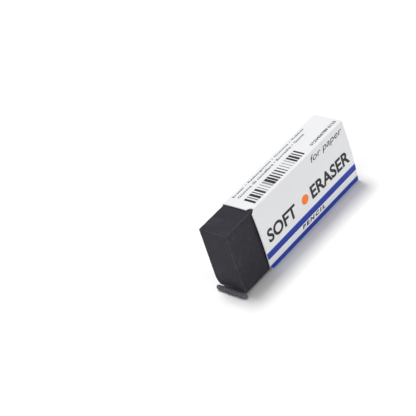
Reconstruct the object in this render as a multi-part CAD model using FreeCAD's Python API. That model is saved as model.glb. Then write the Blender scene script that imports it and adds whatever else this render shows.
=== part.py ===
"""Block eraser in a folded card sleeve, standing on the narrow side that carries the sleeve's seam.

X runs along the block, from its worn end (-X) to its tail (+X). Y runs through its thickness, from the
front wide face (-Y) to the back one. Z runs up through its width. The origin is at the middle of the
block's length and thickness, on the sleeve's lower outer face.
"""

import FreeCAD, Part
import math
import os

from FreeCAD import Placement, Rotation, Vector

# Block of eraser plastic
BLOCK_LENGTH = 60.0
BLOCK_WIDTH = 23.0
BLOCK_THICKNESS = 11.0
BLOCK_EDGE_RADIUS = 0.2

# Wear at the lower edge of the open end: a slanted facet, deeper at the back, and a worn-off back corner
FACET_HEIGHT_FRONT = 0.15
FACET_HEIGHT_BACK = 0.95
FACET_RUN_BACK = 0.9
CORNER_HEIGHT = 3.0
CORNER_WIDTH = 0.7
CORNER_RUN = 1.1

# Card sleeve, with a notch at the mouth on each fold of the front panel
CARD = 0.30
FIT_GAP = 0.10
BLOCK_SHOWING = 12.3
TAIL_RECESS = 0.5
WIDE_PANEL_BOW = 0.5
TOP_PANEL_BOW = 0.12
FOLD_RADIUS = 0.40
NOTCH_RADIUS = 1.6
NOTCH_SETBACK = 0.3
NOTCH_SHIFT = 0.4

# Lap seam on the lower narrow side
FLAP_WIDTH = 9.0
LAP_SETBACK = 0.4
GLUE_FILM = 0.05
GLUE_WIDTH = 7.0
GLUE_END_MARGIN = 1.5

# Roll of rubbings at the worn edge
ROLL_DIAMETER = 1.8
ROLL_TIP_DIAMETER = 1.6
ROLL_PAST_FRONT = 1.4
ROLL_PAST_BACK = 0.5
ROLL_GAP = 0.05

# Levels above the surface that the sleeve stands on
FLAP_BOTTOM = CARD + GLUE_FILM
FLAP_TOP = FLAP_BOTTOM + CARD
BLOCK_BOTTOM = FLAP_TOP + FIT_GAP
BLOCK_TOP = BLOCK_BOTTOM + BLOCK_WIDTH
SLEEVE_TOP_INNER = BLOCK_TOP + FIT_GAP
SLEEVE_TOP = SLEEVE_TOP_INNER + CARD

# Half-thicknesses
BLOCK_HALF = BLOCK_THICKNESS / 2
SLEEVE_HALF_INNER = BLOCK_HALF + FIT_GAP
SLEEVE_HALF = SLEEVE_HALF_INNER + CARD

# Places along the block
WORN_END = -BLOCK_LENGTH / 2
SLEEVE_MOUTH = WORN_END + BLOCK_SHOWING
SLEEVE_END = BLOCK_LENGTH / 2 + TAIL_RECESS
SLEEVE_LENGTH = SLEEVE_END - SLEEVE_MOUTH


def eraser_block():
    """Rectangular block with small moulded edge radii, rubbed away at the lower edge of one end."""
    corner = Vector(WORN_END, -BLOCK_HALF, BLOCK_BOTTOM)
    block = Part.makeBox(BLOCK_LENGTH, BLOCK_THICKNESS, BLOCK_WIDTH, corner)
    block = block.makeFillet(BLOCK_EDGE_RADIUS, block.Edges)
    facet = beyond_plane(
        Vector(WORN_END, -BLOCK_HALF, BLOCK_BOTTOM + FACET_HEIGHT_FRONT),
        Vector(WORN_END, BLOCK_HALF, BLOCK_BOTTOM + FACET_HEIGHT_BACK),
        Vector(WORN_END + FACET_RUN_BACK, BLOCK_HALF, BLOCK_BOTTOM),
    )
    worn_corner = beyond_plane(
        Vector(WORN_END, BLOCK_HALF - CORNER_WIDTH, BLOCK_BOTTOM + FACET_HEIGHT_BACK),
        Vector(WORN_END, BLOCK_HALF, BLOCK_BOTTOM + CORNER_HEIGHT),
        Vector(WORN_END + CORNER_RUN, BLOCK_HALF, BLOCK_BOTTOM + FACET_HEIGHT_BACK),
    )
    return block.cut(facet).cut(worn_corner)


def beyond_plane(first, second, third):
    """Solid on the worn side of the plane through three points, which run anticlockwise seen from it."""
    size = 4 * BLOCK_WIDTH
    outward = (second - first).cross(third - first)
    slab = Part.makeBox(size, size, size, Vector(-size / 2, -size / 2, 0))
    slab.Placement = Placement(first, Rotation(Vector(0, 0, 1), outward))
    return slab


def card_sleeve():
    """One card blank folded round the block, its last panel lapped under the flap of the first."""
    sleeve = Part.Face(sleeve_section()).extrude(Vector(SLEEVE_LENGTH, 0, 0))
    sleeve = sleeve.makeFillet(FOLD_RADIUS, outer_folds(sleeve))
    return sleeve.cut(mouth_notches())


def sleeve_section():
    """Closed outline of the folded card, round its outside from the free edge and back inside."""
    middle = SLEEVE_TOP / 2

    def at(y, z):
        return Vector(SLEEVE_MOUTH, y, z)

    def bowed(start, through, end):
        return Part.Arc(at(*start), at(*through), at(*end)).toShape()

    def straight(*points):
        return Part.makePolygon([at(*point) for point in points]).Edges

    free_edge = SLEEVE_HALF - LAP_SETBACK
    flap_edge = SLEEVE_HALF - FLAP_WIDTH
    front_bow = -SLEEVE_HALF - WIDE_PANEL_BOW
    back_bow = SLEEVE_HALF + WIDE_PANEL_BOW
    outside = straight((free_edge, CARD), (free_edge, 0), (-SLEEVE_HALF, 0))
    outside.append(bowed((-SLEEVE_HALF, 0), (front_bow, middle), (-SLEEVE_HALF, SLEEVE_TOP)))
    outside.append(
        bowed((-SLEEVE_HALF, SLEEVE_TOP), (0, SLEEVE_TOP + TOP_PANEL_BOW), (SLEEVE_HALF, SLEEVE_TOP))
    )
    outside.append(bowed((SLEEVE_HALF, SLEEVE_TOP), (back_bow, middle), (SLEEVE_HALF, FLAP_BOTTOM)))
    flap = straight(
        (SLEEVE_HALF, FLAP_BOTTOM),
        (flap_edge, FLAP_BOTTOM),
        (flap_edge, FLAP_TOP),
        (SLEEVE_HALF_INNER, FLAP_TOP),
    )
    inside = [
        bowed(
            (SLEEVE_HALF_INNER, FLAP_TOP), (back_bow - CARD, middle), (SLEEVE_HALF_INNER, SLEEVE_TOP_INNER)
        ),
        bowed(
            (SLEEVE_HALF_INNER, SLEEVE_TOP_INNER),
            (0, SLEEVE_TOP_INNER + TOP_PANEL_BOW),
            (-SLEEVE_HALF_INNER, SLEEVE_TOP_INNER),
        ),
        bowed(
            (-SLEEVE_HALF_INNER, SLEEVE_TOP_INNER), (front_bow + CARD, middle), (-SLEEVE_HALF_INNER, CARD)
        ),
    ]
    lapped_panel = straight((-SLEEVE_HALF_INNER, CARD), (free_edge, CARD))
    return Part.Wire(outside + flap + inside + lapped_panel)


def fold_lines():
    """Height and depth of the outer fold lines, as (y, z)."""
    return [
        (-SLEEVE_HALF, 0),
        (-SLEEVE_HALF, SLEEVE_TOP),
        (SLEEVE_HALF, SLEEVE_TOP),
        (SLEEVE_HALF, FLAP_BOTTOM),
    ]


def outer_folds(sleeve):
    """The long edges that lie on the outer fold lines."""
    folds = []
    for edge in sleeve.Edges:
        centre = edge.CenterOfMass
        is_long = abs(edge.Length - SLEEVE_LENGTH) < 1e-6
        if is_long and any(abs(centre.y - y) + abs(centre.z - z) < 1e-6 for y, z in fold_lines()):
            folds.append(edge)
    return folds


def mouth_notches():
    """Round cuts across the two folds of the front panel at the mouth, centred on the narrow panels."""
    centre_x = SLEEVE_MOUTH - NOTCH_SETBACK
    wide_depth = WIDE_PANEL_BOW + CARD + FIT_GAP
    wide_start_y = -SLEEVE_HALF - WIDE_PANEL_BOW
    narrow_start_y = -SLEEVE_HALF + NOTCH_SHIFT
    bottom_start = Vector(centre_x, wide_start_y, -NOTCH_SHIFT)
    top_start = Vector(centre_x, wide_start_y, SLEEVE_TOP + NOTCH_SHIFT)
    top_depth = SLEEVE_TOP + TOP_PANEL_BOW - BLOCK_TOP
    cutters = [
        Part.makeCylinder(NOTCH_RADIUS, wide_depth, bottom_start, Vector(0, 1, 0)),
        Part.makeCylinder(NOTCH_RADIUS, BLOCK_BOTTOM, Vector(centre_x, narrow_start_y, 0)),
        Part.makeCylinder(NOTCH_RADIUS, wide_depth, top_start, Vector(0, 1, 0)),
        Part.makeCylinder(NOTCH_RADIUS, top_depth, Vector(centre_x, narrow_start_y, BLOCK_TOP)),
    ]
    return Part.makeCompound(cutters)


def seam_glue():
    """Film of glue between the flap and the panel lapped under it."""
    back = SLEEVE_HALF - LAP_SETBACK - (FLAP_WIDTH - GLUE_WIDTH) / 2
    start = Vector(SLEEVE_MOUTH + NOTCH_RADIUS + GLUE_END_MARGIN, back - GLUE_WIDTH, CARD)
    return Part.makeBox(SLEEVE_END - GLUE_END_MARGIN - start.x, GLUE_WIDTH, GLUE_FILM, start)


def rubbings_roll():
    """Spindle of spent eraser, thickest at its middle, lying across the worn end."""
    radius = ROLL_DIAMETER / 2
    tip_radius = ROLL_TIP_DIAMETER / 2
    axis_x = WORN_END - ROLL_GAP - radius
    front = -BLOCK_HALF - ROLL_PAST_FRONT
    back = BLOCK_HALF + ROLL_PAST_BACK
    shoulder_front = front + tip_radius
    shoulder_back = back - tip_radius
    middle = (front + back) / 2
    diagonal = tip_radius * math.sqrt(0.5)

    def at(y, height):
        return Vector(axis_x, y, radius + height)

    front_shoulder = at(shoulder_front, tip_radius)
    back_shoulder = at(shoulder_back, tip_radius)
    front_tip = Part.Arc(at(front, 0), at(shoulder_front - diagonal, diagonal), front_shoulder)
    side = Part.Arc(front_shoulder, at(middle, radius), back_shoulder)
    back_tip = Part.Arc(back_shoulder, at(shoulder_back + diagonal, diagonal), at(back, 0))
    axis = Part.LineSegment(at(back, 0), at(front, 0))
    profile = Part.Wire([curve.toShape() for curve in (front_tip, side, back_tip, axis)])
    return Part.Face(profile).revolve(at(0, 0), Vector(0, 1, 0), 360)


NODES = {
    "eraser_block": eraser_block,
    "card_sleeve": card_sleeve,
    "seam_glue": seam_glue,
    "rubbings_roll": rubbings_roll,
}

os.makedirs("parts", exist_ok=True)
for node, make in NODES.items():
    shape = make()
    shape.exportStep("parts/" + node + ".step")
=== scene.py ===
import math

import bmesh
import bpy
import numpy as np
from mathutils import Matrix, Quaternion, Vector, noise


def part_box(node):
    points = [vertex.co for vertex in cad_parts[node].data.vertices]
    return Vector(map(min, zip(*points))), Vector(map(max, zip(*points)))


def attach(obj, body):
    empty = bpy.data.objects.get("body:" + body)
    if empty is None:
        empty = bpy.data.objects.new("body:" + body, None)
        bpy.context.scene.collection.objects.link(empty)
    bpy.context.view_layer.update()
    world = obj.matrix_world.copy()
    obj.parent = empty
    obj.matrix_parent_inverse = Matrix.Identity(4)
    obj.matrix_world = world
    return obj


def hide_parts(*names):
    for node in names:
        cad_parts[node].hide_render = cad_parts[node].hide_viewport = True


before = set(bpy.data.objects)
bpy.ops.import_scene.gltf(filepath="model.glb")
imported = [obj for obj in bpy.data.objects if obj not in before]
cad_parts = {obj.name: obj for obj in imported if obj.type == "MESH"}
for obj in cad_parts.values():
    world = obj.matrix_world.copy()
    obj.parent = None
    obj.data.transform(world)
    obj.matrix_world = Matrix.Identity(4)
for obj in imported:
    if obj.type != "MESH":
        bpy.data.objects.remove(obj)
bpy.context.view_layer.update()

MM = 0.001


# ------------------------------------------------------------------------------------------------
# Viewpoint. A long lens looks at the worn end and the front wide face from a little above, with the
# camera rolled so that the eraser climbs to the upper right.
# ------------------------------------------------------------------------------------------------

aim = Vector((-15.0, 16.5, 17.5)) * MM
azimuth = math.radians(-38.4)
elevation = math.radians(34.6)
roll = math.radians(20.1)
distance = 458 * MM

level = math.cos(elevation)
towards_camera = Vector((math.sin(azimuth) * level, -math.cos(azimuth) * level, math.sin(elevation)))
camera = bpy.data.objects.new("camera", bpy.data.cameras.new("camera"))
camera.data.sensor_width = 36
camera.data.lens = 125.7
camera.data.clip_start = 0.01
camera.location = aim + towards_camera * distance
camera.rotation_mode = "QUATERNION"
camera.rotation_quaternion = towards_camera.to_track_quat("Z", "Y") @ Quaternion((0, 0, 1), -roll)
bpy.context.scene.collection.objects.link(camera)
bpy.context.scene.camera = camera
bpy.context.scene.view_settings.view_transform = "Standard"


# ------------------------------------------------------------------------------------------------
# Table and lamps. A plain white table top in a white room, a soft box above and a little behind it,
# and two weaker ones for the worn end and the front. The far table is shown as white as the room,
# so that no horizon is seen.
# ------------------------------------------------------------------------------------------------

table_half = 1500 * MM
table_drop = 0.02 * MM
table_mesh = bpy.data.meshes.new("table")
table_corners = [(-1, -1), (1, -1), (1, 1), (-1, 1)]
table_points = [(x * table_half, y * table_half, -table_drop) for x, y in table_corners]
table_mesh.from_pydata(table_points, [], [(0, 1, 2, 3)])
table_white = bpy.data.materials.new("white table")
table_white.use_nodes = True
table_shader = table_white.node_tree.nodes["Principled BSDF"]
table_shader.inputs["Base Color"].default_value = (0.93, 0.93, 0.93, 1)
table_shader.inputs["Roughness"].default_value = 0.8
table_shader.inputs["Specular IOR Level"].default_value = 0.1
near_table, far_table, far_glow = 180 * MM, 700 * MM, 0.6
table_nodes, table_links = table_white.node_tree.nodes, table_white.node_tree.links
table_place = table_nodes.new("ShaderNodeTexCoord").outputs["Object"]
from_middle = table_nodes.new("ShaderNodeVectorMath")
from_middle.operation = "LENGTH"
table_links.new(table_place, from_middle.inputs[0])
whitened = table_nodes.new("ShaderNodeMapRange")
whitened.inputs["From Min"].default_value = near_table
whitened.inputs["From Max"].default_value = far_table
whitened.inputs["To Max"].default_value = far_glow
table_links.new(from_middle.outputs["Value"], whitened.inputs["Value"])
shown = table_nodes.new("ShaderNodeMath")
shown.operation = "MULTIPLY"
table_links.new(whitened.outputs["Result"], shown.inputs[0])
table_links.new(table_nodes.new("ShaderNodeLightPath").outputs["Is Camera Ray"], shown.inputs[1])
table_links.new(shown.outputs["Value"], table_shader.inputs["Emission Strength"])
table_mesh.materials.append(table_white)
table = bpy.data.objects.new("table", table_mesh)
bpy.context.scene.collection.objects.link(table)

room = bpy.data.worlds.new("white room")
room.use_nodes = True
room_light = room.node_tree.nodes["Background"].inputs
room_light["Color"].default_value = (1, 1, 1, 1)
room_glow, backdrop_glow = 0.42, 1.0
seen = room.node_tree.nodes.new("ShaderNodeLightPath")
seen_strength = room.node_tree.nodes.new("ShaderNodeMapRange")
seen_strength.inputs["To Min"].default_value = room_glow
seen_strength.inputs["To Max"].default_value = backdrop_glow
room.node_tree.links.new(seen.outputs["Is Camera Ray"], seen_strength.inputs["Value"])
room.node_tree.links.new(seen_strength.outputs["Result"], room_light["Strength"])
bpy.context.scene.world = room


def soft_box(name, place, size, power):
    """A square lamp that faces the eraser."""
    lamp = bpy.data.objects.new(name, bpy.data.lights.new(name, "AREA"))
    lamp.data.size = size
    lamp.data.energy = power
    lamp.location = place
    lamp.rotation_mode = "QUATERNION"
    lamp.rotation_quaternion = Vector(place).to_track_quat("Z", "Y")
    bpy.context.scene.collection.objects.link(lamp)


soft_box("soft box above", (0.04, 0.17, 0.62), 0.18, 2.85)
soft_box("weak soft box at the worn end", (-0.60, 0.05, 0.25), 0.4, 0.50)
soft_box("low soft box in front", (-0.05, -0.70, 0.10), 0.3, 1.65)


# ------------------------------------------------------------------------------------------------
# Eraser block. One moulded block of black soft PVC with small edge radii. Use has rubbed away the
# lower edge of its open end, most at the back corner, left that part smoother and greyer, and
# pressed the back of the end out into a slight lip. A band of the end face just above the rubbed
# part is painted lighter as a painted highlight, and the pale edges are wear with a painted highlight.
# ------------------------------------------------------------------------------------------------

block_low, block_high = (np.array(corner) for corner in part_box("eraser_block"))
block_edge_radius = 0.20 * MM
block_pitch = 0.36 * MM
block_unevenness = 0.03 * MM


def grid_lines(low, high):
    """Grid lines across one side: close together where the edges turn, and even between them."""
    turns = [block_edge_radius * (1 - math.tan(math.radians(angle))) for angle in (45, 30, 15, 0)]
    flat = high - low - 2 * block_edge_radius
    count = round(flat / block_pitch)
    even = [low + block_edge_radius + flat * step / count for step in range(1, count)]
    return [low + turn for turn in turns] + even + [high - turn for turn in reversed(turns)]


def box_skin(lines):
    """Points and outward quads over the six sides of a box, on the grid lines of its three axes."""
    points, faces, numbers = [], [], {}

    def number(place):
        if place not in numbers:
            numbers[place] = len(points)
            points.append([lines[axis][place[axis]] for axis in range(3)])
        return numbers[place]

    for axis in range(3):
        across, up = (axis + 1) % 3, (axis + 2) % 3
        for end in (0, len(lines[axis]) - 1):
            for i in range(len(lines[across]) - 1):
                for j in range(len(lines[up]) - 1):
                    face = []
                    for di, dj in ((0, 0), (1, 0), (1, 1), (0, 1)):
                        place = [0, 0, 0]
                        place[axis], place[across], place[up] = end, i + di, j + dj
                        face.append(number(tuple(place)))
                    faces.append(face if end else face[::-1])
    return np.array(points), faces


def rubbed_down(points, first, second, third, softness):
    """Points pressed back to the plane through three places, and how far each one stood beyond it."""
    normal = np.cross(second - first, third - first)
    normal /= np.linalg.norm(normal)
    beyond = (points - first) @ normal
    kept = -softness * np.logaddexp(0, -beyond / softness)
    return points + np.outer(kept - beyond, normal), beyond


skin_points, block_faces = box_skin([grid_lines(block_low[axis], block_high[axis]) for axis in range(3)])
core = np.clip(skin_points, block_low + block_edge_radius, block_high - block_edge_radius)
outward = skin_points - core
steepness = np.sort(np.abs(outward), axis=1)
edge_share = steepness[:, 1] / steepness[:, 2]
outward /= np.linalg.norm(outward, axis=1)[:, None]
block_points = core + outward * block_edge_radius

worn_x, front_y, bottom_z = block_low
back_y = block_high[1]
facet_height_front, facet_height_back, facet_run = 0.15 * MM, 0.95 * MM, 0.9 * MM
block_points, beyond_facet = rubbed_down(
    block_points,
    np.array((worn_x, front_y, bottom_z + facet_height_front)),
    np.array((worn_x, back_y, bottom_z + facet_height_back)),
    np.array((worn_x + facet_run, back_y, bottom_z)),
    0.06 * MM,
)
corner_width, corner_height, corner_run = 0.7 * MM, 3.0 * MM, 1.1 * MM
block_points, beyond_corner = rubbed_down(
    block_points,
    np.array((worn_x, back_y - corner_width, bottom_z + facet_height_back)),
    np.array((worn_x, back_y, bottom_z + corner_height)),
    np.array((worn_x + corner_run, back_y, bottom_z + facet_height_back)),
    0.2 * MM,
)
# The lighter mask reaches this far past the rubbed facet onto the end face; that band is a painted highlight,
# not wear.
painted_highlight_band = 0.50 * MM
wear_and_highlight_depth = np.maximum(beyond_facet + painted_highlight_band, beyond_corner)
rubbed_share = np.clip(0.5 + wear_and_highlight_depth / (0.16 * MM), 0, 1)
spread_reach, spread_height, spread_most = 1.1 * MM, 20 * MM, 0.55 * MM
near_end = np.clip(1 - (block_points[:, 0] - worn_x) / spread_reach, 0, 1) ** 2
near_bottom = np.clip(1 - (block_points[:, 2] - bottom_z) / spread_height, 0, 1)
near_back = np.clip((block_points[:, 1] - front_y) / (back_y - front_y), 0, 1) ** 2
block_points[:, 1] += spread_most * near_end * near_bottom * near_back
swells_per_metre, small_swells_per_metre, nicks_per_metre = 260, 900, 700
swell_level, nick_level, nick_depth = 0.6, 0.2, 6
for number, point in enumerate(block_points):
    swell = noise.noise(Vector(point) * swells_per_metre)
    swell += 0.5 * noise.noise(Vector(point) * small_swells_per_metre)
    nick = noise.noise(Vector(point) * nicks_per_metre + Vector((7, 0, 0)))
    nick = max(0.0, nick - nick_level) * edge_share[number]
    lift = swell - swell_level - nick_depth * nick
    block_points[number] = point + outward[number] * block_unevenness * lift


def new_piece(name, points, faces, materials, **shares):
    """A smooth-shaded object at the origin, whose mesh carries one number per point in each share."""
    mesh = bpy.data.meshes.new(name)
    mesh.from_pydata([tuple(point) for point in points], [], faces)
    mesh.polygons.foreach_set("use_smooth", [True] * len(mesh.polygons))
    for share, values in shares.items():
        mesh.attributes.new(share, "FLOAT", "POINT").data.foreach_set("value", np.array(values, np.float32))
    for material in materials:
        mesh.materials.append(material)
    piece = bpy.data.objects.new(name, mesh)
    bpy.context.scene.collection.objects.link(piece)
    return piece


def feed(tree, socket, value):
    """Sets a socket to a value, or links it to the output that feeds it."""
    if isinstance(value, bpy.types.NodeSocket):
        tree.links.new(value, socket)
    else:
        socket.default_value = value


def add(tree, kind, inputs=None, **settings):
    """One node. Each input is a value, or the output that feeds it."""
    node = tree.nodes.new(kind)
    for name, value in settings.items():
        setattr(node, name, value)
    for name, value in (inputs or {}).items():
        feed(tree, node.inputs[name], value)
    return node


def math_node(tree, operation, *values):
    """The result of one Math node."""
    return add(tree, "ShaderNodeMath", dict(enumerate(values)), operation=operation).outputs[0]


def new_effect(name, inputs, outputs):
    """An empty shader node group with these inputs, as {name: default}, and outputs, as {name: kind}."""
    tree = bpy.data.node_groups.new(name, "ShaderNodeTree")
    for socket_name, default in inputs.items():
        kind = "NodeSocketColor" if isinstance(default, tuple) else "NodeSocketFloat"
        tree.interface.new_socket(socket_name, in_out="INPUT", socket_type=kind).default_value = default
    for socket_name, kind in outputs.items():
        tree.interface.new_socket(socket_name, in_out="OUTPUT", socket_type=kind)
    return tree, tree.nodes.new("NodeGroupInput").outputs, tree.nodes.new("NodeGroupOutput").inputs


def effect(tree, group, **inputs):
    """An effect placed in a material with its own values. Returns its outputs."""
    node = add(tree, "ShaderNodeGroup", node_tree=group)
    for name, value in inputs.items():
        feed(tree, node.inputs[name.replace("_", " ")], value)
    return node.outputs


def noise_value(tree, per_metre, detail=2.0, stretch=None, roughness=0.5):
    """Noise from 0 to 1 on Object coordinates, which a stretch scales by axis first."""
    place = add(tree, "ShaderNodeTexCoord").outputs["Object"]
    if stretch:
        place = add(tree, "ShaderNodeMapping", {"Vector": place, "Scale": stretch}).outputs["Vector"]
    inputs = {"Vector": place, "Scale": per_metre, "Detail": detail, "Roughness": roughness}
    return add(tree, "ShaderNodeTexNoise", inputs).outputs["Fac"]


def remap(tree, value, low, high, to_low=0.0, to_high=1.0):
    """Value brought from one range to another, and kept inside it."""
    inputs = {"Value": value, "From Min": low, "From Max": high, "To Min": to_low, "To Max": to_high}
    return add(tree, "ShaderNodeMapRange", inputs).outputs["Result"]


def blend(tree, share, first, second):
    """Colour that goes from the first to the second as the share goes from 0 to 1."""
    node = add(tree, "ShaderNodeMix", data_type="RGBA")
    for socket, value in zip((node.inputs[0], node.inputs[6], node.inputs[7]), (share, first, second)):
        feed(tree, socket, value)
    return node.outputs[2]


def calculate(tree, operation, first, second):
    """One Math node, kept between 0 and 1."""
    node = add(tree, "ShaderNodeMath", operation=operation, use_clamp=True)
    feed(tree, node.inputs[0], first)
    feed(tree, node.inputs[1], second)
    return node.outputs[0]


uneven_tone, given, result = new_effect(
    "uneven tone",
    {"Colour": (0.5, 0.5, 0.5, 1), "Patches per Metre": 200.0, "Spread": 0.1},
    {"Colour": "NodeSocketColor"},
)
patches = noise_value(uneven_tone, given["Patches per Metre"], 4.0, roughness=0.6)
patch_swing = math_node(uneven_tone, "SUBTRACT", patches, 0.5)
tone_swing = math_node(uneven_tone, "MULTIPLY_ADD", patch_swing, given["Spread"], 1.0)
toned = add(uneven_tone, "ShaderNodeVectorMath", {0: given["Colour"], "Scale": tone_swing}, operation="SCALE")
uneven_tone.links.new(toned.outputs["Vector"], result["Colour"])

fine_grain, given, result = new_effect(
    "fine grain",
    {"Grains per Metre": 3000.0, "Depth": 0.00002},
    {"Height": "NodeSocketFloat", "Normal": "NodeSocketVector"},
)
grains = noise_value(fine_grain, given["Grains per Metre"], 3.0, roughness=0.65)
grain_bump = add(fine_grain, "ShaderNodeBump", {"Height": grains, "Distance": given["Depth"]})
fine_grain.links.new(grains, result["Height"])
fine_grain.links.new(grain_bump.outputs["Normal"], result["Normal"])

marks, given, result = new_effect(
    "handling marks",
    {"Marks per Metre": 90.0, "Amount": 0.5},
    {"Mask": "NodeSocketFloat"},
)
smears = add(
    marks,
    "ShaderNodeTexNoise",
    {
        "Vector": add(marks, "ShaderNodeTexCoord").outputs["Object"],
        "Scale": given["Marks per Metre"],
        "Detail": 5.0,
        "Roughness": 0.7,
        "Distortion": 0.8,
    },
)
smear_mask = remap(marks, smears.outputs["Fac"], 0.52, 0.74)
fleck_mask = remap(marks, noise_value(marks, 2200.0, 2.0, roughness=0.7), 0.40, 0.62)
marked = math_node(marks, "MULTIPLY", smear_mask, fleck_mask)
marks.links.new(math_node(marks, "MULTIPLY", marked, given["Amount"]), result["Mask"])

# Mask of lighter edges: wear on the card's folds and rims, and wear with a painted highlight on the block's
# edges.
edge_wear_and_highlight, given, result = new_effect(
    "edge wear and highlight",
    {"Edge": 0.0, "Start": 0.4, "Breaks per Metre": 600.0},
    {"Mask": "NodeSocketFloat"},
)
edge_breaks = noise_value(edge_wear_and_highlight, given["Breaks per Metre"], 3.0, roughness=0.6)
edge_step = remap(edge_wear_and_highlight, given["Edge"], given["Start"], 1.0)
break_step = remap(edge_wear_and_highlight, edge_breaks, 0.34, 0.58, 0.25, 1.0)
edge_wear_and_highlight.links.new(math_node(edge_wear_and_highlight, "MULTIPLY", edge_step, break_step), result["Mask"])


def new_material(name, **shader_inputs):
    """A material with constant values on its shader's own sockets, its tree and the shader's inputs."""
    material = bpy.data.materials.new(name)
    material.use_nodes = True
    shader = material.node_tree.nodes["Principled BSDF"]
    for socket, value in shader_inputs.items():
        shader.inputs[socket.replace("_", " ")].default_value = value
    return material, material.node_tree, shader.inputs


def attribute(tree, name):
    """The number that each point of the mesh carries under this name."""
    return add(tree, "ShaderNodeAttribute", attribute_name=name).outputs["Fac"]


def mottled(tree, colour, per_metre, spread):
    """A colour with its uneven tone."""
    tone = effect(tree, uneven_tone, Colour=(*colour, 1), Patches_per_Metre=per_metre, Spread=spread)
    return tone["Colour"]


def edge_wear_and_highlight_mask(tree, share, start, per_metre):
    """Mask of the lighter edges that this share of the mesh marks: wear on the card, and wear with a painted
    highlight on the block.
    """
    edge = attribute(tree, share)
    return effect(tree, edge_wear_and_highlight, Edge=edge, Start=start, Breaks_per_Metre=per_metre)["Mask"]


eraser_plastic, tree, shader = new_material("black eraser plastic", Specular_IOR_Level=0.20)
eraser_tone = mottled(tree, (0.020, 0.019, 0.027), 170.0, 0.60)
eraser_speck = remap(tree, noise_value(tree, 4800.0, 1.0), 0.60, 0.72, 0.0, 0.40)
eraser_tone = blend(tree, eraser_speck, eraser_tone, (0.085, 0.085, 0.095, 1))
eraser_scuff = effect(tree, marks, Marks_per_Metre=150.0, Amount=0.40)["Mask"]
eraser_tone = blend(tree, eraser_scuff, eraser_tone, (0.10, 0.10, 0.11, 1))
# Pale edges of the block: partly wear, partly a painted highlight along the rounded edges.
eraser_edge_wear_and_highlight = edge_wear_and_highlight_mask(tree, "edge_share", 0.30, 500.0)
eraser_tone = blend(tree, eraser_edge_wear_and_highlight, eraser_tone, (0.12, 0.12, 0.13, 1))
# Greyer where the facet is rubbed away (wear), and lighter in the band just above it (painted highlight).
rubbed_and_highlit = calculate(tree, "MULTIPLY", attribute(tree, "rubbed_share"), 0.85)
eraser_tone = blend(tree, rubbed_and_highlit, eraser_tone, (0.130, 0.124, 0.140, 1))
tree.links.new(eraser_tone, shader["Base Color"])
eraser_grain = effect(tree, fine_grain, Grains_per_Metre=3200.0, Depth=0.000012)
tree.links.new(remap(tree, eraser_grain["Height"], 0.3, 0.7, 0.52, 0.72), shader["Roughness"])
tree.links.new(eraser_grain["Normal"], shader["Normal"])

block = new_piece(
    "block", block_points, block_faces, [eraser_plastic], edge_share=edge_share, rubbed_share=rubbed_share
)
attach(block, "block")
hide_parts("eraser_block")


# ------------------------------------------------------------------------------------------------
# Card sleeve. One blank of coated white card, printed outside, creased and folded round the block,
# with a round notch punched across both front folds at the mouth. Its wide panels stand bowed.
# ------------------------------------------------------------------------------------------------

sleeve_low, sleeve_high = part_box("card_sleeve")
card = 0.30 * MM
wide_bow = 0.5 * MM
top_bow = 0.12 * MM
fold_radius = 0.40 * MM
glue_film = 0.05 * MM
lap_setback = 0.4 * MM
flap_width = 9.0 * MM
sleeve_half = sleeve_high.y - wide_bow
sleeve_top = sleeve_high.z - top_bow
notch_radius = 1.6 * MM
notch_setback = 0.3 * MM
notch_shift = 0.4 * MM
ripple_height = 0.035 * MM


def bowed_panel(start, end, bow, cut_start, cut_end):
    """Places and headings along a panel that bows to its left, short of its ends by the two cuts."""
    chord = Vector(end) - Vector(start)
    along = chord.normalized()
    left = Vector((-along.y, along.x))
    stations = []
    for run in np.linspace(cut_start, chord.length - cut_end, 60):
        share = 2 * run / chord.length - 1
        place = Vector(start) + along * run + left * bow * (1 - share * share)
        heading = along - left * (4 * bow / chord.length) * share
        stations.append((place, heading.normalized()))
    return stations


def round_fold(before, after):
    """Places and headings round a fold, from a panel's last station to the next panel's first."""
    (start, heading), (end, next_heading) = before, after
    turn = heading.angle_signed(next_heading)
    radius = (end - start).length / (2 * math.sin(turn / 2))
    right = Vector((heading.y, -heading.x))
    stations = []
    for angle in np.linspace(0, turn, 13)[1:-1]:
        place = start + heading * radius * math.sin(angle) + right * radius * (1 - math.cos(angle))
        stations.append((place, heading * math.cos(angle) + right * math.sin(angle)))
    return stations


flap_z = card + glue_film
folds = [(-sleeve_half, 0), (-sleeve_half, sleeve_top), (sleeve_half, sleeve_top), (sleeve_half, flap_z)]
corners = [(sleeve_half - lap_setback, 0), *folds, (sleeve_half - flap_width, flap_z)]
bows = [0, wide_bow, top_bow, wide_bow, 0]
fold_cut = 0.9 * fold_radius
outline, fold_middles = [], []
for number, bow in enumerate(bows):
    cut_start = fold_cut if number > 0 else 0
    cut_end = fold_cut if number < len(folds) else 0
    panel = bowed_panel(corners[number], corners[number + 1], bow, cut_start, cut_end)
    if outline:
        turned = round_fold(outline[-1], panel[0])
        fold_middles.append(len(outline) + len(turned) // 2)
        outline += turned
    outline += panel
outline_places = np.array([place for place, heading in outline])
outline_normals = np.array([(-heading.y, heading.x) for place, heading in outline])
outline_run = np.concatenate([[0], np.cumsum(np.linalg.norm(np.diff(outline_places, axis=0), axis=1))])
fold_runs = outline_run[fold_middles]

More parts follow.
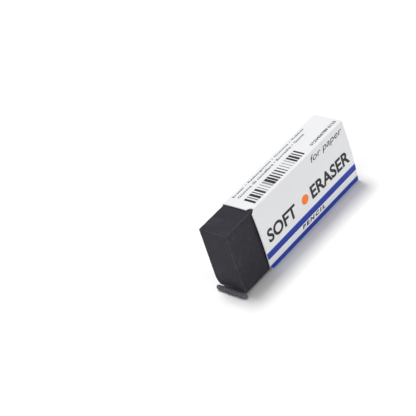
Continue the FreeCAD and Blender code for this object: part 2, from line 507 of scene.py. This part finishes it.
notch_half = math.sqrt(notch_radius**2 - notch_setback**2)
notch_runs = fold_runs[:2] + np.array([-1, 1]) * notch_shift
notch_turns = np.linspace(-1, 1, 25) * math.pi / 2
notch_stations = [run + notch_half * math.sin(turn) for run in notch_runs for turn in notch_turns]
panel_stations = np.linspace(0, outline_run[-1], round(outline_run[-1] / (0.8 * MM)))
clear = [run for run in panel_stations if min(abs(run - other) for other in notch_stations) > 0.25 * MM]
across = np.array(sorted(notch_stations + clear))
section_y, section_z = (np.interp(across, outline_run, outline_places[:, axis]) for axis in (0, 1))
normal_y, normal_z = (np.interp(across, outline_run, outline_normals[:, axis]) for axis in (0, 1))


def notch_depth(run):
    """How far the mouth is cut back at this distance round the sleeve."""
    reach = np.sqrt(np.maximum(0, notch_radius**2 - (run - notch_runs) ** 2)) - notch_setback
    return max(0, reach.max())


def ripple(x, y, z):
    """Slight unevenness of the standing panels, none where the sleeve rests on its seam."""
    standing = min(1, max(0, (z - flap_z - card) / (2 * MM)))
    return ripple_height * standing * noise.noise(Vector((x * 70, y * 110, z * 110)))


mouth_zone = 6 * MM
mouth_rows = np.array([0, 0.15, 0.4, 0.8, 1.5, 2.5, 4, 6]) * MM / mouth_zone
far_rows = np.array([1.0, 0.5, 0.15, 0]) * MM
plain_rows = np.linspace(sleeve_low.x + mouth_zone, sleeve_high.x - far_rows[0], 40)[1:-1]
outer_points, inner_points, fold_share, rim_share = [], [], [], []
cut_back = [notch_depth(run) for run in across]
rows = [("mouth", share) for share in mouth_rows] + [("plain", x) for x in plain_rows]
rows += [("plain", sleeve_high.x - x) for x in far_rows]
for kind, value in rows:
    for station, run in enumerate(across):
        start_x = sleeve_low.x + cut_back[station]
        x = start_x + (sleeve_low.x + mouth_zone - start_x) * value if kind == "mouth" else value
        y, z = section_y[station], section_z[station]
        normal = Vector((0, normal_y[station], normal_z[station])).normalized()
        outer = Vector((x, y, z)) + normal * ripple(x, y, z)
        outer_points.append(outer)
        inner_points.append(outer - normal * card)
        fold_share.append(max(0, 1 - abs(run - fold_runs).min() / (0.5 * MM)))
        rim_distance = min(x - start_x, sleeve_high.x - x)
        rim_share.append(max(0, 1 - rim_distance / (0.4 * MM)))

row_count, station_count = len(rows), len(across)
inner_start = len(outer_points)
sleeve_faces, face_kinds = [], []
for row in range(row_count - 1):
    for station in range(station_count - 1):
        corner = row * station_count + station
        quad = [corner, corner + station_count, corner + station_count + 1, corner + 1]
        sleeve_faces.append(quad)
        sleeve_faces.append([inner_start + number for number in reversed(quad)])
        face_kinds += [0, 1]
rim_paths = [[row * station_count for row in range(row_count)][::-1]]
rim_paths.append([(row_count - 1) * station_count + station for station in range(station_count)][::-1])
rim_paths.append([row * station_count + station_count - 1 for row in range(row_count)])
rim_paths.append([station for station in range(station_count)])
for path in rim_paths:
    for first, second in zip(path, path[1:]):
        sleeve_faces.append([first, second, inner_start + second, inner_start + first])
        face_kinds.append(2)

printed_card, tree, shader = new_material("printed card", Specular_IOR_Level=0.22, Coat_Roughness=0.35)
place = add(tree, "ShaderNodeSeparateXYZ", {"Vector": add(tree, "ShaderNodeTexCoord").outputs["Object"]})
ink_edge = remap(tree, noise_value(tree, 4000.0, 1.0), 0.3, 0.7, -0.00003, 0.00003)
card_height = math_node(tree, "ADD", place.outputs["Z"], ink_edge)
band_low, band_high, border_high, ink_blur = 4.55 * MM, 7.0 * MM, 2.05 * MM, 0.03 * MM
above_band_low = remap(tree, card_height, band_low - ink_blur, band_low + ink_blur)
below_band_high = remap(tree, card_height, band_high + ink_blur, band_high - ink_blur)
blue_band = calculate(tree, "MULTIPLY", above_band_low, below_band_high)
blue_border = remap(tree, card_height, border_high + ink_blur, border_high - ink_blur)
inked = calculate(tree, "ADD", blue_band, blue_border)
paper = mottled(tree, (0.760, 0.763, 0.776), 60.0, 0.05)
smudge = effect(tree, marks, Marks_per_Metre=70.0, Amount=0.10)["Mask"]
paper = blend(tree, smudge, paper, (0.42, 0.42, 0.44, 1))
blue_ink = mottled(tree, (0.014, 0.041, 0.345), 900.0, 0.22)
face_tone = blend(tree, inked, paper, blue_ink)
fold_wear = edge_wear_and_highlight_mask(tree, "fold_share", 0.45, 900.0)
rim_wear = edge_wear_and_highlight_mask(tree, "rim_share", 0.45, 900.0)
ink_worn = calculate(tree, "MULTIPLY", calculate(tree, "MAXIMUM", fold_wear, rim_wear), 0.55)
face_tone = blend(tree, ink_worn, face_tone, (0.80, 0.80, 0.80, 1))
tree.links.new(face_tone, shader["Base Color"])
card_grain = effect(tree, fine_grain, Grains_per_Metre=2400.0, Depth=0.000006)
card_roughness = remap(tree, card_grain["Height"], 0.3, 0.7, 0.38, 0.50)
worn_roughness = calculate(tree, "ADD", card_roughness, calculate(tree, "MULTIPLY", fold_wear, 0.2))
tree.links.new(worn_roughness, shader["Roughness"])
tree.links.new(calculate(tree, "MULTIPLY", inked, 0.05), shader["Coat Weight"])
tree.links.new(card_grain["Normal"], shader["Normal"])

bare_card, tree, shader = new_material("bare card inside", Specular_IOR_Level=0.2)
fibres = noise_value(tree, 1500.0, 4.0, (0.35, 1, 1), 0.7)
bare_tone = mottled(tree, (0.62, 0.61, 0.58), 120.0, 0.12)
bare_tone = blend(tree, remap(tree, fibres, 0.55, 0.7, 0.0, 0.3), bare_tone, (0.40, 0.39, 0.36, 1))
tree.links.new(bare_tone, shader["Base Color"])
tree.links.new(remap(tree, fibres, 0.3, 0.7, 0.75, 0.95), shader["Roughness"])
bare_grain = effect(tree, fine_grain, Grains_per_Metre=1800.0, Depth=0.00002)
tree.links.new(bare_grain["Normal"], shader["Normal"])

# The cut edge is raw card painted much lighter than the same card inside: partly its own colour, partly a
# painted highlight.
cut_card, tree, shader = new_material("cut card edge with painted highlight", Specular_IOR_Level=0.15)
layers = noise_value(tree, 2500.0, 3.0, (0.3, 1, 1), 0.7)
cut_tone_with_highlight = mottled(tree, (0.86, 0.85, 0.83), 1500.0, 0.10)
cut_tone_with_highlight = blend(tree, remap(tree, layers, 0.55, 0.7, 0.0, 0.4), cut_tone_with_highlight, (0.60, 0.59, 0.57, 1))
tree.links.new(cut_tone_with_highlight, shader["Base Color"])
tree.links.new(remap(tree, layers, 0.3, 0.7, 0.7, 0.95), shader["Roughness"])
cut_grain = effect(tree, fine_grain, Grains_per_Metre=5000.0, Depth=0.00002)
tree.links.new(cut_grain["Normal"], shader["Normal"])

sleeve = new_piece(
    "sleeve",
    outer_points + inner_points,
    sleeve_faces,
    [printed_card, bare_card, cut_card],
    fold_share=fold_share * 2,
    rim_share=rim_share * 2,
)
sleeve.data.polygons.foreach_set("material_index", face_kinds)
sleeve.data.set_sharp_from_angle(angle=math.radians(40))
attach(sleeve, "sleeve")
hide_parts("card_sleeve")


# ------------------------------------------------------------------------------------------------
# Seam glue. A thin film of clear dried glue, rolled on between the flap and the panel lapped under
# it, which keeps the sleeve closed. It shows as a faint line at the two ends of the lap.
# ------------------------------------------------------------------------------------------------

dried_glue, tree, shader = new_material(
    "dried glue", Transmission_Weight=0.35, IOR=1.47, Specular_IOR_Level=0.5
)
glue_tone = mottled(tree, (0.78, 0.72, 0.58), 700.0, 0.25)
glue_bubbles = effect(tree, marks, Marks_per_Metre=500.0, Amount=0.5)["Mask"]
glue_tone = blend(tree, glue_bubbles, glue_tone, (0.90, 0.88, 0.80, 1))
tree.links.new(glue_tone, shader["Base Color"])
glue_grain = effect(tree, fine_grain, Grains_per_Metre=1200.0, Depth=0.00001)
tree.links.new(remap(tree, glue_grain["Height"], 0.3, 0.7, 0.25, 0.45), shader["Roughness"])
tree.links.new(glue_grain["Normal"], shader["Normal"])
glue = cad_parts["seam_glue"]
for glue_slot in glue.material_slots:
    glue_slot.material = dried_glue


# ------------------------------------------------------------------------------------------------
# Lettering. Plain words and figures, offset printed in dark ink on the wide panels and the upper
# narrow one, with one orange dot. The ink is a film about a hundredth of a millimetre thick.
# ------------------------------------------------------------------------------------------------

ink_film = 0.012 * MM
ink_root = 0.004 * MM
wrap_step = 0.8 * MM


def on_card(panel, run, height, lift):
    """Place on a printed panel: run is the way that its lines read, and height is across them."""
    if panel == "top":
        y = height
        x, z = run, sleeve_top + top_bow * (1 - (y / sleeve_half) ** 2)
        return Vector((x, y, z + ripple(x, y, z) + lift))
    side = -1 if panel == "front" else 1
    fold_z = 0 if panel == "front" else flap_z
    share = 2 * (height - fold_z) / (sleeve_top - fold_z) - 1
    x = run if panel == "front" else sleeve_low.x + sleeve_high.x - run
    y, z = side * (sleeve_half + wide_bow * (1 - share**2)), height
    return Vector((x, y + side * (ripple(x, y, z) + lift), z))


def print_on(panel, name, flat, inks):
    """Lays a flat closed film on a panel: it is divided so that it bends with the card, then placed."""
    work = bmesh.new()
    work.from_mesh(flat)
    bmesh.ops.remove_doubles(work, verts=work.verts, dist=0.0005 * MM)
    for axis in (0, 1):
        values = [vertex.co[axis] for vertex in work.verts]
        step = wrap_step * (1 if axis else 4)
        for number in range(math.ceil(min(values) / step), math.floor(max(values) / step) + 1):
            cut_place, cut_normal = Vector((0, 0, 0)), Vector((0, 0, 0))
            cut_place[axis], cut_normal[axis] = number * step, 1
            everything = work.verts[:] + work.edges[:] + work.faces[:]
            bmesh.ops.bisect_plane(work, geom=everything, plane_co=cut_place, plane_no=cut_normal, dist=1e-8)
    for vertex in work.verts:
        vertex.co = on_card(panel, vertex.co.x, vertex.co.y, vertex.co.z)
    bmesh.ops.triangulate(work, faces=work.faces)
    flat.name = name
    flat.materials.clear()
    for ink in inks:
        flat.materials.append(ink)
    work.to_mesh(flat)
    work.free()
    film = bpy.data.objects.new(name, flat)
    bpy.context.scene.collection.objects.link(film)
    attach(film, "sleeve")


def lettering(words, low, high, boldness=0.0, lean=0.0, tracking=1.0):
    """Flat closed film of the words, fitted between two corners, each as (run, height) in millimetres."""
    text = bpy.data.objects.new(words, bpy.data.curves.new(words, "FONT"))
    text.data.body = words
    text.data.extrude = 0.1
    text.data.offset = boldness
    text.data.shear = lean
    text.data.space_character = tracking
    text.data.resolution_u = 5
    bpy.context.scene.collection.objects.link(text)
    bpy.context.view_layer.update()
    flat = bpy.data.meshes.new_from_object(text.evaluated_get(bpy.context.evaluated_depsgraph_get()))
    bpy.data.objects.remove(text)
    low, high = np.array(low) * MM, np.array(high) * MM
    places = np.array([vertex.co for vertex in flat.vertices])
    least, most = places.min(axis=0), places.max(axis=0)
    share = (places - least) / (most - least)
    places[:, 0] = low[0] + (high[0] - low[0]) * share[:, 0]
    places[:, 1] = low[1] + (high[1] - low[1]) * share[:, 1]
    places[:, 2] = np.where(share[:, 2] > 0.5, ink_film, -ink_root)
    flat.vertices.foreach_set("co", places.ravel())
    return flat


def new_ink(name, colour):
    """Printing ink: dense, a little uneven and slightly glossier than the card."""
    ink, tree, shader = new_material(name, Specular_IOR_Level=0.2)
    ink_tone = mottled(tree, colour, 1200.0, 0.30)
    missed = remap(tree, noise_value(tree, 6000.0, 1.0), 0.68, 0.76, 0.0, 0.3)
    ink_tone = blend(tree, missed, ink_tone, (0.6, 0.6, 0.6, 1))
    tree.links.new(ink_tone, shader["Base Color"])
    ink_grain = effect(tree, fine_grain, Grains_per_Metre=3500.0, Depth=0.000005)
    tree.links.new(remap(tree, ink_grain["Height"], 0.3, 0.7, 0.32, 0.45), shader["Roughness"])
    tree.links.new(ink_grain["Normal"], shader["Normal"])
    return ink


dark_ink = new_ink("dark ink", (0.022, 0.020, 0.027))
orange_ink = new_ink("orange ink", (0.90, 0.20, 0.018))
grey_ink = new_ink("grey ink", (0.30, 0.30, 0.31))

for panel in ("front", "back"):
    for name, words, low, high, weights in (
        ("_first_word", "SOFT", (-15.0, 9.3), (-0.4, 14.2), (0.030,)),
        ("_second_word", "ERASER", (7.8, 9.3), (28.7, 14.2), (0.030,)),
        ("_small_word", "PENCIL", (0.2, 2.70), (12.4, 4.20), (0.045, 0.2, 1.4)),
        ("_upper_words", "for paper", (12.0, 20.0), (29.0, 22.9), (0.004, 0.3)),
    ):
        print_on(panel, panel + name, lettering(words, low, high, *weights), [dark_ink])
print_on("top", "top_figures", lettering("0123456789 0123", (16.1, -4.5), (29.5, -3.3), 0.03), [dark_ink])

dot_centre, dot_radius = Vector((4.6, 11.8)) * MM, 1.7 * MM
for panel in ("front", "back"):
    work = bmesh.new()
    bmesh.ops.create_cone(work, cap_ends=True, segments=48, radius1=dot_radius, radius2=dot_radius, depth=1)
    for vertex in work.verts:
        lift = ink_film if vertex.co.z > 0 else -ink_root
        vertex.co = Vector((vertex.co.x + dot_centre.x, vertex.co.y + dot_centre.y, lift))
    dot = bpy.data.meshes.new("dot")
    work.to_mesh(dot)
    work.free()
    print_on(panel, panel + "_dot", dot, [orange_ink])

for row, (words, low, high) in enumerate(
    (
        ("Eraser \u2022 Radiergummi \u2022 Gomme \u2022 Rubber", (-14.2, 3.55), (23.1, 4.55)),
        ("Gomma da cancellare \u2022 Borracha \u2022 Goma", (-13.9, 1.75), (20.4, 2.75)),
    )
):
    print_on("top", "top_words_" + str(row + 1), lettering(words, low, high, 0.020), [dark_ink])


# ------------------------------------------------------------------------------------------------
# Bars. A row of upright bars of mixed width, printed across the upper narrow panel in black and
# grey. They are drawn at random and stand for no number.
# ------------------------------------------------------------------------------------------------


def new_maker(name, inputs):
    """An empty Geometry Nodes tree with these inputs, as {name: (kind, default)}, and a geometry output."""
    tree = bpy.data.node_groups.new(name, "GeometryNodeTree")
    tree.interface.new_socket("Geometry", in_out="OUTPUT", socket_type="NodeSocketGeometry")
    for socket_name, (kind, default) in inputs.items():
        socket = tree.interface.new_socket(socket_name, in_out="INPUT", socket_type="NodeSocket" + kind)
        if default is not None:
            socket.default_value = default
    return tree, tree.nodes.new("NodeGroupInput").outputs, tree.nodes.new("NodeGroupOutput").inputs


def made_by(tree, **values):
    """Plain mesh that the tree makes with these values, which are set before it is first evaluated."""
    holder = bpy.data.objects.new(tree.name, bpy.data.meshes.new(tree.name))
    modifier = holder.modifiers.new(tree.name, "NODES")
    modifier.node_group = tree
    for item in tree.interface.items_tree:
        if item.in_out == "INPUT" and item.name.replace(" ", "_") in values:
            modifier[item.identifier] = values[item.name.replace(" ", "_")]
    bpy.context.scene.collection.objects.link(holder)
    bpy.context.view_layer.update()
    mesh = bpy.data.meshes.new_from_object(holder.evaluated_get(bpy.context.evaluated_depsgraph_get()))
    holder.modifiers.remove(modifier)
    bpy.data.objects.remove(holder)
    if mesh.materials[0] is None:
        numbers = [face.material_index - 1 for face in mesh.polygons]
        mesh.materials.pop(index=0)
        mesh.polygons.foreach_set("material_index", numbers)
    return mesh


bar_row, given, result = new_maker(
    "row of bars",
    {
        "Length": ("Float", 0.027),
        "Bar Height": ("Float", 0.0045),
        "Bars": ("Int", 40),
        "Narrowest": ("Float", 0.25),
        "Widest": ("Float", 0.8),
        "Film": ("Float", 0.00001),
        "Root": ("Float", 0.000004),
        "Seed": ("Int", 1),
        "Black Ink": ("Material", None),
        "Grey Ink": ("Material", None),
    },
)
bar_pitch = math_node(bar_row, "DIVIDE", given["Length"], given["Bars"])
bar_offset = add(bar_row, "ShaderNodeCombineXYZ", {"X": bar_pitch})
bar_line = add(bar_row, "GeometryNodeMeshLine", {"Count": given["Bars"], "Offset": bar_offset.outputs[0]})
bar_share = add(
    bar_row,
    "FunctionNodeRandomValue",
    {2: given["Narrowest"], 3: given["Widest"], "Seed": given["Seed"]},
    data_type="FLOAT",
)
bar_share_value = [socket for socket in bar_share.outputs if socket.enabled][0]
bar_width = math_node(bar_row, "MULTIPLY", bar_share_value, bar_pitch)
bar_thickness = math_node(bar_row, "ADD", given["Film"], given["Root"])
bar_size = add(
    bar_row, "ShaderNodeCombineXYZ", {"X": bar_width, "Y": given["Bar Height"], "Z": bar_thickness}
)
bar_place = add(bar_row, "GeometryNodeInputPosition").outputs[0]
grey_place = add(bar_row, "ShaderNodeVectorMath", {0: bar_place, "Scale": 190.0}, operation="SCALE")
grey_inputs = {"Vector": grey_place.outputs["Vector"], "Scale": 1.0, "Detail": 0.0}
grey_noise = add(bar_row, "ShaderNodeTexNoise", grey_inputs)
is_grey = math_node(bar_row, "GREATER_THAN", grey_noise.outputs["Fac"], 0.54)
is_black = math_node(bar_row, "SUBTRACT", 1.0, is_grey)
one_bar = add(bar_row, "GeometryNodeMeshCube", {"Size": (1, 1, 1)})
both_inks = add(bar_row, "GeometryNodeJoinGeometry")
for chosen, ink in ((is_black, "Black Ink"), (is_grey, "Grey Ink")):
    bars = add(
        bar_row,
        "GeometryNodeInstanceOnPoints",
        {
            "Points": bar_line.outputs[0],
            "Selection": chosen,
            "Instance": one_bar.outputs[0],
            "Scale": bar_size.outputs[0],
        },
    )
    real_bars = add(bar_row, "GeometryNodeRealizeInstances", {"Geometry": bars.outputs[0]})
    bar_ink = {"Geometry": real_bars.outputs[0], "Material": given[ink]}
    inked_bars = add(bar_row, "GeometryNodeSetMaterial", bar_ink)
    bar_row.links.new(inked_bars.outputs[0], both_inks.inputs[0])
bar_row.links.new(both_inks.outputs[0], result["Geometry"])

bars_start, bars_end, bars_low, bars_high = -13.7 * MM, 13.0 * MM, -4.7 * MM, -0.2 * MM
bars = made_by(
    bar_row,
    Length=bars_end - bars_start,
    Bar_Height=bars_high - bars_low,
    Bars=21,
    Narrowest=0.22,
    Widest=0.95,
    Film=ink_film,
    Root=ink_root,
    Seed=4,
    Black_Ink=dark_ink,
    Grey_Ink=grey_ink,
)
for vertex in bars.vertices:
    lift = ink_film if vertex.co.z > 0 else -ink_root
    vertex.co = Vector((vertex.co.x + bars_start, vertex.co.y + (bars_low + bars_high) / 2, lift))
print_on("top", "top_bars", bars, list(bars.materials))


# ------------------------------------------------------------------------------------------------
# Roll of rubbings. Spent eraser that has rolled itself into one soft spindle along the worn edge, a
# little askew: a lumpy core with drawn-out strands pressed into it, dark grey with dusty streaks.
# ------------------------------------------------------------------------------------------------

felt, given, result = new_maker(
    "felted roll",
    {
        "Length": ("Float", 0.012),
        "Middle Radius": ("Float", 0.0009),
        "Tip Radius": ("Float", 0.0006),
        "Lump Depth": ("Float", 0.0001),
        "Strands": ("Int", 60),
        "Strand Radius": ("Float", 0.00005),
        "Seed": ("Int", 1),
        "Material": ("Material", None),
    },
)


def roll_radius(tree, share):
    """Radius of the roll where share goes from -1 to 1 along it: fullest in the middle, blunt at its tips."""
    square = math_node(tree, "MULTIPLY", share, share)
    swell = math_node(tree, "SUBTRACT", given["Middle Radius"], given["Tip Radius"])
    inwards = math_node(tree, "SUBTRACT", 1.0, square)
    body = math_node(tree, "MULTIPLY_ADD", swell, inwards, given["Tip Radius"])
    blunt = math_node(tree, "SUBTRACT", 1.0, math_node(tree, "POWER", square, 9.0))
    return math_node(tree, "MULTIPLY", body, math_node(tree, "SQRT", math_node(tree, "MAXIMUM", blunt, 0.0)))


def random_between(tree, low, high, key, seed_shift):
    """A random number for each value of the key."""
    seed = math_node(tree, "ADD", given["Seed"], seed_shift)
    node = add(tree, "FunctionNodeRandomValue", {"Seed": seed, "ID": key}, data_type="FLOAT")
    node.inputs[2].default_value, node.inputs[3].default_value = low, high
    return [socket for socket in node.outputs if socket.enabled][0]


half_length = math_node(felt, "MULTIPLY", given["Length"], 0.5)
core_start = add(felt, "ShaderNodeCombineXYZ", {"Y": math_node(felt, "MULTIPLY", half_length, -1.0)})
core_end = add(felt, "ShaderNodeCombineXYZ", {"Y": half_length})
core_line = add(
    felt, "GeometryNodeCurvePrimitiveLine", {"Start": core_start.outputs[0], "End": core_end.outputs[0]}
)
core_points = add(felt, "GeometryNodeResampleCurve", {"Curve": core_line.outputs[0], "Count": 140})
along_core = add(felt, "GeometryNodeSplineParameter").outputs["Factor"]
core_share = math_node(felt, "MULTIPLY_ADD", along_core, 2.0, -1.0)
core_ring = add(felt, "GeometryNodeCurvePrimitiveCircle", {"Resolution": 40, "Radius": 1.0})
core_mesh = add(
    felt,
    "GeometryNodeCurveToMesh",
    {
        "Curve": core_points.outputs[0],
        "Profile Curve": core_ring.outputs[0],
        "Scale": roll_radius(felt, core_share),
    },
)
closed_core = add(felt, "GeometryNodeMergeByDistance", {"Geometry": core_mesh.outputs[0], "Distance": 1e-7})

strand_line = add(felt, "GeometryNodeCurvePrimitiveLine", {"End": (0, 0, 1)})
strand_points = add(felt, "GeometryNodeResampleCurve", {"Curve": strand_line.outputs[0], "Count": 28})
strands = add(
    felt,
    "GeometryNodeDuplicateElements",
    {"Geometry": strand_points.outputs[0], "Amount": given["Strands"]},
    domain="SPLINE",
)
key = strands.outputs["Duplicate Index"]
along_strand = add(felt, "GeometryNodeSplineParameter").outputs["Factor"]
strand_start = random_between(felt, -0.99, 0.75, key, 0)
strand_reach = random_between(felt, 0.15, 0.9, key, 1)
strand_share = math_node(felt, "MULTIPLY_ADD", along_strand, strand_reach, strand_start)
strand_share = math_node(felt, "MINIMUM", strand_share, 0.985)
strand_turn = random_between(felt, 0.0, 2 * math.pi, key, 2)
strand_twist = random_between(felt, -0.9, 0.9, key, 3)
strand_angle = math_node(felt, "MULTIPLY_ADD", along_strand, strand_twist, strand_turn)
strand_depth = math_node(felt, "MULTIPLY", given["Strand Radius"], random_between(felt, -0.6, 0.5, key, 4))
strand_ring = math_node(felt, "ADD", roll_radius(felt, strand_share), strand_depth)
strand_place = add(
    felt,
    "ShaderNodeCombineXYZ",
    {
        "X": math_node(felt, "MULTIPLY", strand_ring, math_node(felt, "COSINE", strand_angle)),
        "Y": math_node(felt, "MULTIPLY", strand_share, half_length),
        "Z": math_node(felt, "MULTIPLY", strand_ring, math_node(felt, "SINE", strand_angle)),
    },
)
laid_strands = add(
    felt,
    "GeometryNodeSetPosition",
    {"Geometry": strands.outputs["Geometry"], "Position": strand_place.outputs[0]},
)
strand_taper = math_node(
    felt, "SINE", math_node(felt, "MULTIPLY_ADD", along_strand, math.pi * 0.94, math.pi * 0.03)
)
strand_section = add(felt, "GeometryNodeCurvePrimitiveCircle", {"Resolution": 6, "Radius": 1.0})
strand_mesh = add(
    felt,
    "GeometryNodeCurveToMesh",
    {
        "Curve": laid_strands.outputs[0],
        "Profile Curve": strand_section.outputs[0],
        "Scale": math_node(felt, "MULTIPLY", strand_taper, given["Strand Radius"]),
        "Fill Caps": True,
    },
)
whole_roll = add(felt, "GeometryNodeJoinGeometry")
felt.links.new(closed_core.outputs[0], whole_roll.inputs[0])
felt.links.new(strand_mesh.outputs[0], whole_roll.inputs[0])

roll_position = add(felt, "GeometryNodeInputPosition").outputs[0]
radial = add(felt, "ShaderNodeVectorMath", {0: roll_position, 1: (1, 0, 1)}, operation="MULTIPLY")
radial = add(felt, "ShaderNodeVectorMath", {0: radial.outputs[0]}, operation="NORMALIZE")
lump_place = add(felt, "ShaderNodeVectorMath", {0: roll_position, 1: (1, 0.35, 1)}, operation="MULTIPLY")
lumps = add(
    felt,
    "ShaderNodeTexNoise",
    {"Vector": lump_place.outputs[0], "Scale": 1500.0, "Detail": 3.0, "Roughness": 0.6},
)
lump_height = math_node(felt, "SUBTRACT", lumps.outputs["Fac"], 0.66)
sunk = math_node(felt, "MULTIPLY", lump_height, given["Lump Depth"])
sink = add(felt, "ShaderNodeVectorMath", {0: radial.outputs[0], "Scale": sunk}, operation="SCALE")
lumpy_roll = add(
    felt, "GeometryNodeSetPosition", {"Geometry": whole_roll.outputs[0], "Offset": sink.outputs["Vector"]}
)
smooth_roll = add(felt, "GeometryNodeSetShadeSmooth", {"Geometry": lumpy_roll.outputs[0]})
real_roll = add(felt, "GeometryNodeRealizeInstances", {"Geometry": smooth_roll.outputs[0]})
covered_roll = add(
    felt, "GeometryNodeSetMaterial", {"Geometry": real_roll.outputs[0], "Material": given["Material"]}
)
felt.links.new(covered_roll.outputs[0], result["Geometry"])

rubbings_felt, tree, shader = new_material("felted rubbings", Specular_IOR_Level=0.12)
felt_streaks = noise_value(tree, 2600.0, 5.0, (1, 0.45, 1), 0.70)
felt_tone = mottled(tree, (0.115, 0.107, 0.122), 500.0, 0.5)
felt_tone = blend(tree, remap(tree, felt_streaks, 0.50, 0.66, 0.0, 0.75), felt_tone, (0.205, 0.195, 0.215, 1))
felt_tone = blend(tree, remap(tree, felt_streaks, 0.46, 0.34, 0.0, 0.7), felt_tone, (0.040, 0.037, 0.045, 1))
tree.links.new(felt_tone, shader["Base Color"])
tree.links.new(remap(tree, felt_streaks, 0.3, 0.7, 0.95, 0.75), shader["Roughness"])
felt_grain = effect(tree, fine_grain, Grains_per_Metre=4500.0, Depth=0.00003)
streak_inputs = {"Height": felt_streaks, "Distance": 0.00012, "Normal": felt_grain["Normal"]}
streak_bump = add(tree, "ShaderNodeBump", streak_inputs)
tree.links.new(streak_bump.outputs["Normal"], shader["Normal"])

roll_low, roll_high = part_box("rubbings_roll")
strand_radius = 0.07 * MM
roll_mesh = made_by(
    felt,
    Length=roll_high.y - roll_low.y,
    Middle_Radius=(roll_high.z - roll_low.z) / 2,
    Tip_Radius=0.80 * MM,
    Lump_Depth=0.35 * MM,
    Strands=90,
    Strand_Radius=strand_radius,
    Seed=11,
    Material=rubbings_felt,
)
roll_middle, roll_half = (roll_low + roll_high) / 2, (roll_high.y - roll_low.y) / 2
roll_lean, roll_bend = 0.20 * MM, 0.10 * MM
for vertex in roll_mesh.vertices:
    share = vertex.co.y / roll_half
    vertex.co.x += roll_lean * share + roll_bend * share**2
    vertex.co += roll_middle
rubbings = bpy.data.objects.new("rubbings", roll_mesh)
bpy.context.scene.collection.objects.link(rubbings)
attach(rubbings, "rubbings")
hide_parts("rubbings_roll")
